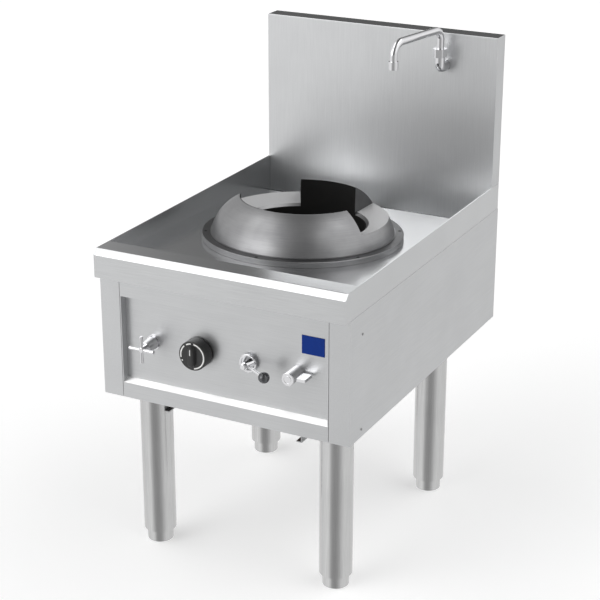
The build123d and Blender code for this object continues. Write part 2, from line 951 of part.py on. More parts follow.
mixer_z = bowl_z + mixer_rise
mixer_y = ring_y - mixer_length
bowl_top = bowl_z + bowl_height
shutter_y = mixer_y + bell_length + rest_gap
with BuildPart() as burner_body:
    round_z(0, ring_y, bowl_z, bowl_z + bowl_cone, bowl_foot, bowl_radius)
    round_z(0, ring_y, bowl_z + bowl_cone, bowl_top, bowl_radius)
    round_y(0, mixer_z, mixer_y, ring_y, mixer_radius)
    round_y(0, mixer_z, mixer_y, mixer_y + bell_length, bell_radius)
    inner_foot = bowl_foot - bowl_wall
    inner_bowl = bowl_radius - bowl_wall
    round_z(0, ring_y, bowl_z + bowl_wall, bowl_z + bowl_cone, inner_foot, inner_bowl, mode=Mode.SUBTRACT)
    round_z(0, ring_y, bowl_z + bowl_cone, bowl_top + 1, inner_bowl, mode=Mode.SUBTRACT)
    round_y(0, mixer_z, mixer_y + bell_length, ring_y, mixer_bore, mode=Mode.SUBTRACT)
    round_y(
        0,
        mixer_z,
        mixer_y - 1,
        mixer_y + bell_length + 1,
        nozzle_radius + run_gap,
        mode=Mode.SUBTRACT,
    )
    with Locations(Location((0, mixer_y + bell_length / 2, mixer_z), (-90, 0, 0))):
        with PolarLocations(air_hole_circle, 4, start_angle=45):
            Cylinder(air_hole, bell_length + 1, mode=Mode.SUBTRACT)
    block(
        -2 * mixer_radius,
        2 * mixer_radius,
        shutter_y + (shutter_length - shutter_window) / 2,
        shutter_y + (shutter_length + shutter_window) / 2,
        mixer_z - shutter_window / 2,
        mixer_z + shutter_window / 2,
        mode=Mode.SUBTRACT,
    )
pieces["burner_body"] = burner_body.part

with BuildPart() as air_shutter:
    round_y(0, mixer_z, shutter_y, shutter_y + shutter_length, mixer_radius + run_gap + shutter_wall)
    round_y(
        0,
        mixer_z,
        shutter_y - 1,
        shutter_y + shutter_length + 1,
        mixer_radius + run_gap,
        mode=Mode.SUBTRACT,
    )
    block(
        -2 * bell_radius,
        2 * bell_radius,
        shutter_y + (shutter_length - shutter_window) / 2,
        shutter_y + (shutter_length + shutter_window) / 2,
        mixer_z - shutter_window / 2,
        mixer_z + shutter_window / 2,
        mode=Mode.SUBTRACT,
    )
pieces["air_shutter"] = air_shutter.part

with BuildPart() as burner_cap:
    round_z(0, ring_y, bowl_top + rest_gap, bowl_top + rest_gap + cap_height / 2, bowl_radius)
    round_z(
        0,
        ring_y,
        bowl_top + rest_gap + cap_height / 2,
        bowl_top + rest_gap + cap_height,
        bowl_radius,
        bowl_radius - cap_height,
    )
    round_z(
        0,
        ring_y,
        bowl_top + rest_gap - cap_spigot,
        bowl_top + rest_gap,
        bowl_radius - bowl_wall - rest_gap,
    )
    for circle in port_circles:
        with Locations((0, ring_y, bowl_top)):
            with PolarLocations(circle, port_count):
                Cylinder(port_radius, 4 * cap_height, mode=Mode.SUBTRACT)
pieces["burner_cap"] = burner_cap.part

with BuildPart() as injector:
    with BuildSketch(Plane.XZ.offset(-(mixer_y - rest_gap))):
        with Locations((0, mixer_z)):
            RegularPolygon(injector_radius, 6, major_radius=False)
    extrude(amount=injector_length)
    round_y(0, mixer_z, mixer_y - rest_gap, mixer_y + bell_length + rest_gap, nozzle_radius)
pieces["injector"] = injector.part

flame_radius = bowl_radius + flame_gap
pilot_top = bowl_top
sensor_x = -75.0
sensor_y = ring_y + (flame_radius**2 - sensor_x**2) ** 0.5
with BuildPart() as pilot_burner:
    round_z(flame_radius, ring_y, pilot_top - pilot_rise, pilot_top, pilot_radius + 1)
    round_z(flame_radius, ring_y, pilot_top, pilot_top + 4, pilot_radius + 1, pilot_radius - 1)
pieces["pilot_burner"] = pilot_burner.part

# ---- gas side

valve_back = behind_panel + rest_gap + valve_depth
knob_front = panel_y - knob_stand - knob_depth
shank_front = panel_y - knob_stand + 0.5
with BuildPart() as gas_valve:
    block(
        knob_x - valve_width / 2,
        knob_x + valve_width / 2,
        behind_panel,
        valve_back,
        control_z - valve_width / 2,
        control_z + valve_width / 2,
    )
    round_y(knob_x, control_z, shank_front, behind_panel, shank_radius)
    round_y(
        knob_x,
        control_z,
        shank_front - 1,
        panel_y + stem_depth,
        stem_radius + run_gap,
        mode=Mode.SUBTRACT,
    )
pieces["gas_valve"] = gas_valve.part

push_travel = 3.0
with BuildPart() as valve_spindle:
    round_y(
        knob_x,
        control_z,
        knob_front + knob_face,
        panel_y + stem_depth - push_travel - rest_gap,
        stem_radius,
    )
pieces["valve_spindle"] = valve_spindle.part

knob_back = panel_y - knob_stand
with BuildPart() as gas_knob:
    round_y(knob_x, control_z, knob_front, knob_back, knob_face_radius, knob_radius)
    fillet(gas_knob.edges().filter_by(GeomType.CIRCLE).sort_by(Axis.Y)[0], 2)
    round_y(
        knob_x,
        control_z,
        knob_front + knob_face,
        knob_back + 1,
        knob_face_radius - knob_wall,
        mode=Mode.SUBTRACT,
    )
    round_y(knob_x, control_z, knob_front + knob_face - 1, knob_back - 2 * knob_stand, knob_boss)
    with BuildSketch(Plane.XZ.offset(-knob_front)):
        with Locations((knob_x, control_z)):
            SlotOverall(grip_length, grip_width, rotation=90)
    extrude(amount=grip_height, taper=14)
    fillet(gas_knob.faces().sort_by(Axis.Y)[0].edges(), grip_round)
    round_y(
        knob_x,
        control_z,
        knob_front + knob_face,
        knob_back + 1,
        stem_radius + run_gap,
        mode=Mode.SUBTRACT,
    )
pieces["gas_knob"] = gas_knob.part

knob_centre = (knob_x, control_z)
with BuildPart() as knob_marks:
    for start, sweep_angle in mark_arcs:
        with BuildSketch(Plane.XZ.offset(-knob_front)):
            with BuildLine():
                inner = CenterArc(knob_centre, mark_radius - mark_width / 2, start, sweep_angle)
                outer = CenterArc(knob_centre, mark_radius + mark_width / 2, start, sweep_angle)
                Line(inner @ 0, outer @ 0)
                Line(inner @ 1, outer @ 1)
            make_face()
        extrude(amount=mark_height)
    block(
        knob_x - pointer_width / 2,
        knob_x + pointer_width / 2,
        knob_front - grip_height - mark_height,
        knob_front - grip_height,
        control_z + pointer_inner,
        control_z + pointer_outer,
    )
pieces["knob_marks"] = knob_marks.part

feed_y = front + feed_setback
injector_y = mixer_y - rest_gap - injector_length
with BuildPart() as feed_pipe:
    pipe(
        [
            (knob_x, valve_back, control_z),
            (knob_x, feed_y, control_z),
            (knob_x, feed_y, mixer_z),
            (0, feed_y, mixer_z),
            (0, injector_y, mixer_z),
        ],
        tight_bend,
        branch_radius,
        branch_bore,
    )
pieces["feed_pipe"] = feed_pipe.part

with BuildPart() as gas_pipe:
    pipe(
        [
            (inlet_x, thread_y, inlet_z),
            (inlet_x, manifold_y, inlet_z),
            (knob_x - pipe_radius, manifold_y, inlet_z),
        ],
        pipe_bend,
        pipe_radius,
        pipe_bore,
    )
    for x, top in ((knob_x, control_z - valve_width / 2), (wing_x, control_z - tap_radius)):
        round_z(x, manifold_y, inlet_z + pipe_bore, top - rest_gap, branch_radius)
    pipe_thread(inlet_x)
pieces["gas_pipe"] = gas_pipe.part

tap_back = behind_panel + tap_depth
pilot_y = front + pilot_setback
with BuildPart() as pilot_pipe:
    pipe(
        [
            (wing_x, tap_back, control_z),
            (wing_x, pilot_y, control_z),
            (wing_x, pilot_y, pilot_z),
            (flame_radius, pilot_y, pilot_z),
            (flame_radius, ring_y, pilot_z),
            (flame_radius, ring_y, pilot_top - pilot_rise),
        ],
        tight_bend,
        pilot_radius,
    )
pieces["pilot_pipe"] = pilot_pipe.part

sensor_z = pilot_z + 3
with BuildPart() as flame_sensor:
    pipe(
        [
            (sensor_x, sensor_y, pilot_top - pilot_rise),
            (sensor_x, sensor_y, sensor_z),
            (sensor_x, pilot_y, sensor_z),
            (sensor_x, pilot_y, control_z + 8),
            (sensor_x, valve_back, control_z + 8),
        ],
        tight_bend,
        sensor_radius,
    )
    round_z(sensor_x, sensor_y, pilot_top - pilot_rise, pilot_top + 2, pilot_radius)
pieces["flame_sensor"] = flame_sensor.part

# ---- taps


def tap_valve(x, front_y, front_radius):
    """Valve behind the panel with its shank, bored for the stem."""
    round_y(x, control_z, behind_panel, tap_back, tap_radius)
    round_y(x, control_z, panel_y, behind_panel, shank_radius)
    round_y(x, control_z, front_y, panel_y, front_radius)


def stem_bore(x, front_y):
    round_y(x, control_z, front_y - 1, panel_y + stem_depth, stem_radius + run_gap, mode=Mode.SUBTRACT)


flange_front = panel_y - bonnet_flange_length
groove_front = flange_front - bonnet_groove_length
bonnet_front = panel_y - bonnet_length
with BuildPart() as cross_tap_body:
    tap_valve(cross_x, flange_front, bonnet_flange)
    round_y(cross_x, control_z, groove_front, flange_front, bonnet_groove)
    round_y(cross_x, control_z, bonnet_front, groove_front, bonnet_tip, bonnet_base)
    round_y(cross_x, control_z, bonnet_front - neck_length, bonnet_front, neck_radius)
    stem_bore(cross_x, bonnet_front - neck_length)
pieces["cross_tap_body"] = cross_tap_body.part

hub_y1 = bonnet_front - neck_length - rest_gap
hub_y0 = hub_y1 - cross_hub_length
arm_y = hub_y1 - arm_setback
with BuildPart() as cross_handle:
    round_y(cross_x, control_z, hub_y0, hub_y1, cross_hub)
    fillet(cross_handle.edges().filter_by(GeomType.CIRCLE), 2)
    for turn in (0, 90, 180, 270):
        with Locations(Location((cross_x, arm_y, control_z), (0, 90 + turn, 0))):
            Cone(arm_root, arm_tip, cross_arm, align=(Align.CENTER, Align.CENTER, Align.MIN))
    tips = cross_handle.edges().filter_by(GeomType.CIRCLE).filter_by(
        lambda edge: abs(edge.radius - arm_tip) < 0.01
    )
    fillet(tips, 1.2)
    round_y(cross_x, control_z, arm_y, panel_y + stem_depth - rest_gap, stem_radius)
pieces["cross_handle"] = cross_handle.part

lever_base_front = panel_y - lever_base_length
with BuildPart() as lever_tap_body:
    tap_valve(lever_x, lever_base_front, lever_base)
    rims = lever_tap_body.edges().filter_by(GeomType.CIRCLE).sort_by(Axis.Y)[0]
    fillet(rims, 1)
    stem_bore(lever_x, lever_base_front)
pieces["lever_tap_body"] = lever_tap_body.part

lever_back = lever_base_front - rest_gap
disc_front = lever_back - hub_disc_length
cone_front = disc_front - hub_cone_length
rod_start = Vector(lever_x, panel_y - rod_setback, control_z)
rod_direction = Vector(
    cos(radians(rod_lean)) * cos(radians(rod_drop)),
    -sin(radians(rod_lean)),
    -cos(radians(rod_lean)) * sin(radians(rod_drop)),
)
with BuildPart() as lever_hub:
    round_y(lever_x, control_z, disc_front, lever_back, hub_disc)
    fillet(lever_hub.edges().filter_by(GeomType.CIRCLE).sort_by(Axis.Y)[0], 1)
    round_y(lever_x, control_z, cone_front, disc_front, hub_tip, hub_back)
    round_y(lever_x, control_z, cone_front - nub_length, cone_front, nub_radius)
    fillet(lever_hub.edges().filter_by(GeomType.CIRCLE).sort_by(Axis.Y)[0], 2)
    round_y(lever_x, control_z, disc_front, panel_y + stem_depth - rest_gap, stem_radius)
    with Locations(Plane(rod_start, z_dir=rod_direction).location):
        Cylinder(
            rod_radius + run_gap,
            rod_reach,
            align=(Align.CENTER, Align.CENTER, Align.MIN),
            mode=Mode.SUBTRACT,
        )
pieces["lever_hub"] = lever_hub.part

ball_centre = rod_start + rod_direction * rod_reach
with BuildPart() as lever_rod:
    with Locations(Plane(rod_start, z_dir=rod_direction).location):
        Cylinder(rod_radius, rod_reach, align=(Align.CENTER, Align.CENTER, Align.MIN))
pieces["lever_rod"] = lever_rod.part

with BuildPart() as lever_ball:
    with Locations(ball_centre):
        Sphere(ball_radius)
    with Locations(Plane(rod_start, z_dir=rod_direction).location):
        Cylinder(
            rod_radius + run_gap,
            rod_reach + run_gap,
            align=(Align.CENTER, Align.CENTER, Align.MIN),
            mode=Mode.SUBTRACT,
        )
pieces["lever_ball"] = lever_ball.part

wing_base_front = panel_y - wing_base_length
with BuildPart() as wing_tap_body:
    tap_valve(wing_x, wing_base_front, wing_base)
    stem_bore(wing_x, wing_base_front)
pieces["wing_tap_body"] = wing_tap_body.part

wing_back = wing_base_front - rest_gap
wing_front = wing_back - wing_length
with BuildPart() as wing_handle:
    round_y(wing_x, control_z, wing_front, wing_back, wing_radius)
    fillet(wing_handle.edges().filter_by(GeomType.CIRCLE).sort_by(Axis.Y)[0], 1.2)
    block(
        wing_x + wing_radius / 2,
        wing_x + wing_reach,
        wing_front + wing_inset,
        wing_front + wing_inset + wing_depth,
        control_z - wing_sheet / 2,
        control_z + wing_sheet / 2,
    )
    wing_edges = wing_handle.faces().sort_by(Axis.X)[-1].edges()
    fillet(wing_edges, 0.8)
    round_y(
        wing_x,
        control_z,
        wing_front - 1,
        wing_front + face_groove,
        face_ring,
        mode=Mode.SUBTRACT,
    )
    round_y(wing_x, control_z, wing_front, wing_front + 2 * face_groove, face_ring - 1.5)
    round_y(wing_x, control_z, wing_back - 1, panel_y + stem_depth - rest_gap, stem_radius)
pieces["wing_handle"] = wing_handle.part

# ---- water side

with BuildPart() as water_pipe:
    pipe(
        [
            (-inlet_x, thread_y, inlet_z),
            (-inlet_x, manifold_y, inlet_z),
            (-inlet_x, manifold_y, water_z),
            (lever_x + pipe_radius, manifold_y, water_z),
        ],
        pipe_bend,
        pipe_radius,
        pipe_bore,
    )
    for x in (cross_x, lever_x):
        round_z(x, manifold_y, control_z + tap_radius + rest_gap, water_z - pipe_bore, branch_radius)
    pipe_thread(-inlet_x)
pieces["water_pipe"] = water_pipe.part

rinse_y = front + rinse_setback
rinse_bar_y = front + rinse_bar_setback
with BuildPart() as rinse_pipe:
    pipe(
        [
            (cross_x, tap_back, control_z),
            (cross_x, rinse_y, control_z),
            (cross_x, rinse_y, rinse_run_z),
            (cross_x, rinse_bar_y, rinse_run_z),
            (cross_x, rinse_bar_y, rinse_bar_z),
        ],
        tight_bend,
        branch_radius,
        branch_bore,
    )
    with Locations(Location((0, rinse_bar_y, rinse_bar_z), (0, 90, 0))):
        Cylinder(branch_radius, 2 * (body_half - rinse_bar_margin))
    for x in nozzle_places:
        round_y(x, rinse_bar_z, rinse_bar_y, strip_back + rest_gap, rinse_nozzle)
        round_y(x, rinse_bar_z, rinse_bar_y, strip_back + 1, rinse_nozzle / 2, mode=Mode.SUBTRACT)
pieces["rinse_pipe"] = rinse_pipe.part

tail_y = splash_front + tail_length
spout_pipe_y = tail_y - elbow_radius
spout_feed_y = front + spout_feed_setback
with BuildPart() as spout_pipe:
    pipe(
        [
            (lever_x, tap_back, control_z),
            (lever_x, spout_feed_y, control_z),
            (spout_x, spout_feed_y, control_z),
            (spout_x, spout_pipe_y, control_z),
            (spout_x, spout_pipe_y, elbow_z - elbow_radius),
        ],
        tight_bend,
        branch_radius,
        branch_bore,
    )
pieces["spout_pipe"] = spout_pipe.part

elbow_top = elbow_z + elbow_rise
with BuildPart() as spout_elbow:
    pipe(
        [(spout_x, tail_y, elbow_z), (spout_x, spout_y, elbow_z), (spout_x, spout_y, elbow_top)],
        elbow_bend,
        elbow_radius,
        elbow_bore,
    )
    nut_base = elbow_top - nut_overlap
    with Locations((spout_x, spout_y, (nut_base + elbow_top) / 2 + 1)):
        Cylinder(elbow_radius + 1, nut_overlap + 2, mode=Mode.SUBTRACT)
    round_z(spout_x, spout_y, nut_base, elbow_top, nut_cavity)
    round_z(spout_x, spout_y, nut_base - 1, elbow_top + 1, elbow_bore, mode=Mode.SUBTRACT)
    round_y(spout_x, elbow_z, tail_y - panel_sheet, tail_y, elbow_radius)
pieces["spout_elbow"] = spout_elbow.part

with BuildPart() as spout_backnut:
    with BuildSketch(Plane.XZ.offset(-(splash_front + panel_sheet))):
        with Locations((spout_x, elbow_z)):
            RegularPolygon(nut_width / 2, 6, major_radius=False)
            Circle(elbow_radius + run_gap, mode=Mode.SUBTRACT)
    extrude(amount=-backnut_height)
pieces["spout_backnut"] = spout_backnut.part

nut_top = nut_base + nut_height
collar_z = elbow_top + rest_gap
with BuildPart() as swivel_nut:
    with BuildSketch(Plane.XY.offset(nut_base)):
        with Locations((spout_x, spout_y)):
            RegularPolygon(nut_width / 2, 6, major_radius=False, rotation=10)
    extrude(amount=nut_height)
    with BuildSketch(Plane.XY.offset(nut_base)):
        with Locations((spout_x, spout_y)):
            Circle(nut_width / 2 + 1.4)
    extrude(amount=nut_height, mode=Mode.INTERSECT)
    round_z(
        spout_x,
        spout_y,
        nut_base - 1,
        collar_z + collar_height + rest_gap,
        nut_cavity + run_gap,
        mode=Mode.SUBTRACT,
    )
    round_z(spout_x, spout_y, nut_base, nut_top + 1, spout_radius + run_gap, mode=Mode.SUBTRACT)
pieces["swivel_nut"] = swivel_nut.part

arm_z = collar_z + spout_rise
tip_x = spout_x - spout_side
tip_y = spout_y - spout_back
tip_z = arm_z - spout_fall
with BuildPart() as spout_tube:
    pipe(
        [
            (spout_x, spout_y, collar_z),
            (spout_x, spout_y, arm_z),
            (tip_x, tip_y, arm_z),
            (tip_x, tip_y, tip_z - sleeve_height / 2),
        ],
        [spout_bend, spout_end_bend],
        spout_radius,
        spout_bore,
    )
    round_z(spout_x, spout_y, collar_z, collar_z + collar_height, nut_cavity - run_gap)
    round_z(spout_x, spout_y, collar_z - 1, collar_z + 2 * collar_height, spout_bore, mode=Mode.SUBTRACT)
pieces["spout_tube"] = spout_tube.part

with BuildPart() as spout_sleeve:
    round_z(tip_x, tip_y, tip_z - sleeve_height, tip_z, sleeve_radius)
    round_z(
        tip_x,
        tip_y,
        tip_z - sleeve_height / 2,
        tip_z + 1,
        spout_radius + run_gap,
        mode=Mode.SUBTRACT,
    )
    round_z(
        tip_x,
        tip_y,
        tip_z - sleeve_height - 1,
        tip_z,
        spout_bore,
        mode=Mode.SUBTRACT,
    )
pieces["spout_sleeve"] = spout_sleeve.part

# ---- drain

drain_seat = gutter_z + rest_gap
drain_top = drain_seat + drain_rim_height
drain_step = drain_top - drain_cup
drain_outer = drain_hole - rest_gap
with BuildPart() as drain_body:
    round_z(0, drain_y, drain_seat, drain_top, drain_rim)
    round_z(0, drain_y, drain_step, drain_seat, drain_outer)
    round_z(0, drain_y, drain_step - drain_cone, drain_step, drain_pipe, drain_outer)
    round_z(0, drain_y, drain_outlet_z, drain_step - drain_cone, drain_pipe)
    bead_z = drain_outlet_z + drain_spigot
    round_z(0, drain_y, bead_z, bead_z + drain_bead_height, drain_bead)
    cup_bore = drain_outer - drain_wall
    pipe_hole = drain_pipe - drain_wall
    round_z(0, drain_y, drain_step, drain_top + 1, cup_bore, mode=Mode.SUBTRACT)
    round_z(0, drain_y, drain_step - drain_cone, drain_step, pipe_hole, cup_bore, mode=Mode.SUBTRACT)
    round_z(0, drain_y, drain_outlet_z - 1, drain_step - drain_cone, pipe_hole, mode=Mode.SUBTRACT)
pieces["drain_body"] = drain_body.part

strainer_z = drain_top + rest_gap
with BuildPart() as drain_strainer:
    round_z(0, drain_y, strainer_z, strainer_z + strainer_wall, strainer_rim)
    round_z(0, drain_y, strainer_z - strainer_depth, strainer_z, strainer_radius)
    round_z(
        0,
        drain_y,
        strainer_z - strainer_depth + strainer_wall,
        strainer_z + strainer_wall + 1,
        strainer_radius - strainer_wall,
        mode=Mode.SUBTRACT,
    )
    with Locations((0, drain_y, strainer_z - strainer_depth)):
        for circle, count in ((7.0, 6), (15.0, 12)):
            with PolarLocations(circle, count):
                Cylinder(strainer_hole, 4 * strainer_wall, mode=Mode.SUBTRACT)
    for turn in range(0, 180, 30):
        with Locations(Location((0, drain_y, strainer_z - strainer_depth / 2), (90, 0, turn))):
            Cylinder(strainer_hole, 3 * strainer_radius, mode=Mode.SUBTRACT)
pieces["drain_strainer"] = drain_strainer.part

for label, piece in pieces.items():
    piece.label = label
    export_step(piece, f"parts/{label}.step")
print(len(pieces), "pieces written")
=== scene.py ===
import math

import bmesh
import bpy
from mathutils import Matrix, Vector

# A gas wok range in stainless steel. Every shape comes with the frame. Here each piece
# gets its finish, and the whole gets a floor, a studio room and a camera.

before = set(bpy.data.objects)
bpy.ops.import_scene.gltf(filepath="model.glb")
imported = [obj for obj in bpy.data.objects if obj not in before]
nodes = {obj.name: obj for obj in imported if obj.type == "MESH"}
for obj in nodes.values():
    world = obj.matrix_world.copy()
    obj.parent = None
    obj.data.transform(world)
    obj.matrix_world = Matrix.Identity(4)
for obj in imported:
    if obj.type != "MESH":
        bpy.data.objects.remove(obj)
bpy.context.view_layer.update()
mm = 0.001
print("frame loaded:", len(nodes), "nodes")


def hexColour(text):
    # sRGB hex to linear, by the two branches of the sRGB curve
    values = [int(text[i:i + 2], 16) / 255 for i in (1, 3, 5)]
    return [v / 12.92 if v <= 0.04045 else ((v + 0.055) / 1.055) ** 2.4 for v in values] + [1]


def grey(value):
    return (value, value, value, 1)


def addNode(tree, kind, settings=None, links=None):
    # a setting goes by a property's name or a socket's name or number, a link by its socket
    node = tree.nodes.new(kind)
    for key, value in (settings or {}).items():
        if isinstance(key, str) and hasattr(node, key):
            setattr(node, key, value)
        else:
            node.inputs[key].default_value = value
    for key, source in (links or {}).items():
        tree.links.new(source, node.inputs[key])
    return node


def newMaterial(name):
    material = bpy.data.materials.new(name)
    material.use_nodes = True
    material.node_tree.nodes.clear()
    return material, material.node_tree


def fillRamp(ramp, stops):
    while len(ramp.elements) < len(stops):
        ramp.elements.new(1.0)
    for element, (place, value) in zip(ramp.elements, stops):
        element.position = place
        element.color = grey(value)


# the camera stands where the photograph was taken from
cameraSetup = {
    "place": (1.6417, -3.2147, 1.9404),  # metres
    "forward": (-0.4273, 0.8270, -0.3653),
    "focalLength": 101.0,  # mm
    "sensorWidth": 36,  # mm
    "clipEnd": 100,  # metres
}


def makeCamera():
    data = bpy.data.cameras.new("camera")
    data.sensor_width = cameraSetup["sensorWidth"]
    data.lens = cameraSetup["focalLength"]
    data.clip_end = cameraSetup["clipEnd"]
    camera = bpy.data.objects.new("camera", data)
    camera.location = cameraSetup["place"]
    forward = Vector(cameraSetup["forward"])
    camera.rotation_euler = forward.to_track_quat("-Z", "Y").to_euler()
    bpy.context.scene.collection.objects.link(camera)
    bpy.context.scene.camera = camera


# the room is one soft sky: walls in two bands, a bright ceiling, a board and a screen
room = {
    # brightness by compass angle, in degrees from +X, below and above eye level
    "low": [(-180, 0.72), (-150, 0.78), (-121, 0.86), (-109, 0.66), (-95, 0.34), (-70, 0.30),
            (-48, 0.36), (-28, 0.60), (-8, 0.78), (62, 0.66), (100, 0.80), (140, 0.85),
            (180, 0.72)],
    "middle": [(-180, 0.75), (-150, 1.25), (-126, 1.50), (-108, 1.10), (-90, 0.15), (-62, 0.10),
               (-42, 0.20), (-22, 1.05), (0, 1.10), (40, 0.95), (78, 0.70), (96, 0.20),
               (121, 0.10), (126, 0.45), (140, 0.60), (180, 0.75)],
    "eyeLevel": (-4.0, 8.0),  # degrees over which the low band turns into the middle one
    "overhead": 1.85,
    "overheadFrom": (44.0, 56.0),  # degrees up, where the ceiling fades in
    # a white board low in front lights the deck by way of the splash
    "boardToward": (-0.532, -0.788, 0.309),
    "boardEdge": (0.90, 0.98),  # cosine of the angle off its middle, from none to full
    "boardTone": 2.7,
    # a long black screen hangs overhead and darkens the middle of the ring
    "screenSide": (0.891, 0.454, 0.0),
    "screenHalfWidth": (0.20, 0.50),  # sideways part of the direction, from full to none
    "screenLow": (0.62, 0.78),  # upward part of the direction, from none to full
    "screenTone": 0.12,
}


def makeRoom():
    world = bpy.data.worlds.new("studio room")
    bpy.context.scene.world = world
    world.use_nodes = True
    tree = world.node_tree
    tree.nodes.clear()
    toward = addNode(tree, "ShaderNodeTexCoord").outputs["Generated"]
    split = addNode(tree, "ShaderNodeSeparateXYZ", links={0: toward})
    turn = addNode(tree, "ShaderNodeMath", {"operation": "ARCTAN2"},
                   {0: split.outputs["Y"], 1: split.outputs["X"]})
    rise = addNode(tree, "ShaderNodeMath", {"operation": "ARCSINE"}, {0: split.outputs["Z"]})
    compass = addNode(tree, "ShaderNodeMapRange", {"From Min": -math.pi, "From Max": math.pi},
                      {"Value": turn.outputs[0]})
    bands = []
    for band in ("low", "middle"):
        ramp = addNode(tree, "ShaderNodeValToRGB", links={0: compass.outputs[0]})
        ramp.color_ramp.interpolation = "B_SPLINE"
        fillRamp(ramp.color_ramp, [((angle + 180) / 360, tone) for angle, tone in room[band]])
        bands.append(ramp)
    steps = []
    for low, high in (room["eyeLevel"], room["overheadFrom"]):
        steps.append(addNode(tree, "ShaderNodeMapRange",
                             {"interpolation_type": "SMOOTHSTEP", "From Min": math.radians(low),
                              "From Max": math.radians(high)}, {"Value": rise.outputs[0]}))
    walls = addNode(tree, "ShaderNodeMix", {"data_type": "RGBA"},
                    {0: steps[0].outputs[0], 6: bands[0].outputs[0], 7: bands[1].outputs[0]})
    ceiling = addNode(tree, "ShaderNodeMix", {"data_type": "RGBA", 7: grey(room["overhead"])},
                      {0: steps[1].outputs[0], 6: walls.outputs[2]})

    facing = addNode(tree, "ShaderNodeVectorMath",
                     {"operation": "DOT_PRODUCT", 1: room["boardToward"]}, {0: toward})
    low, high = room["boardEdge"]
    board = addNode(tree, "ShaderNodeMapRange",
                    {"interpolation_type": "SMOOTHSTEP", "From Min": low, "From Max": high},
                    {"Value": facing.outputs["Value"]})
    boarded = addNode(tree, "ShaderNodeMix", {"data_type": "RGBA", 7: grey(room["boardTone"])},
                      {0: board.outputs[0], 6: ceiling.outputs[2]})

    across = addNode(tree, "ShaderNodeVectorMath",
                     {"operation": "DOT_PRODUCT", 1: room["screenSide"]}, {0: toward})
    off = addNode(tree, "ShaderNodeMath", {"operation": "ABSOLUTE"}, {0: across.outputs["Value"]})
    inner, outer = room["screenHalfWidth"]
    width = addNode(tree, "ShaderNodeMapRange",
                    {"interpolation_type": "SMOOTHSTEP", "From Min": inner, "From Max": outer,
                     "To Min": 1.0, "To Max": 0.0}, {"Value": off.outputs[0]})
    low, high = room["screenLow"]
    height = addNode(tree, "ShaderNodeMapRange",
                     {"interpolation_type": "SMOOTHSTEP", "From Min": low, "From Max": high},
                     {"Value": split.outputs["Z"]})
    screen = addNode(tree, "ShaderNodeMath", {"operation": "MULTIPLY"},
                     {0: width.outputs[0], 1: height.outputs[0]})
    screened = addNode(tree, "ShaderNodeMix", {"data_type": "RGBA", 7: grey(room["screenTone"])},
                       {0: screen.outputs[0], 6: boarded.outputs[2]})

    # the room lights the steel and shows in it, and the camera itself sees plain white
    seen = addNode(tree, "ShaderNodeLightPath")
    shown = addNode(tree, "ShaderNodeMix", {"data_type": "RGBA", 7: grey(1)},
                    {0: seen.outputs["Is Camera Ray"], 6: screened.outputs[2]})
    back = addNode(tree, "ShaderNodeBackground", links={"Color": shown.outputs[2]})
    addNode(tree, "ShaderNodeOutputWorld", links={"Surface": back.outputs[0]})


floorSheet = {
    "radius": 30.0,  # metres, past the edge of any view
    "sides": 96,
    "colour": "#ebebeb",
    "glow": 0.42,  # lifts the paper to near white and leaves the shadow
}


def makeFloor():
    mesh = bpy.data.meshes.new("floor")
    shape = bmesh.new()
    bmesh.ops.create_circle(shape, cap_ends=True, segments=floorSheet["sides"],
                            radius=floorSheet["radius"])
    shape.to_mesh(mesh)
    shape.free()
    floor = bpy.data.objects.new("floor", mesh)
    bpy.context.scene.collection.objects.link(floor)
    # matt paper: no gloss at all, so nothing but the soft shadow shows on it
    material, tree = newMaterial("matt white paper")
    paper = addNode(tree, "ShaderNodeBsdfDiffuse", {"Color": hexColour(floorSheet["colour"])})
    glow = addNode(tree, "ShaderNodeEmission", {"Strength": floorSheet["glow"]})
    both = addNode(tree, "ShaderNodeAddShader", links={0: paper.outputs[0], 1: glow.outputs[0]})
    addNode(tree, "ShaderNodeOutputMaterial", links={"Surface": both.outputs[0]})
    mesh.materials.append(material)
    floor.visible_glossy = False  # metal shows the room's lower half, not this sheet


bpy.context.scene.view_settings.view_transform = "Standard"
makeCamera()
makeRoom()
makeFloor()
print("studio ready")


# belt brushing: streaks run along one axis; real ones are finer, and are drawn coarse to show
brushing = {
    "streakMm": {"x": (60, 1.6, 1.6), "y": (1.6, 60, 1.6), "z": (1.6, 1.6, 60)},
    "wipeMm": 120,  # faint clouds that a cloth leaves
    "streakShare": 1.4,  # streaks against clouds in the tone
    "toneSpan": (0.8, 1.6),
}


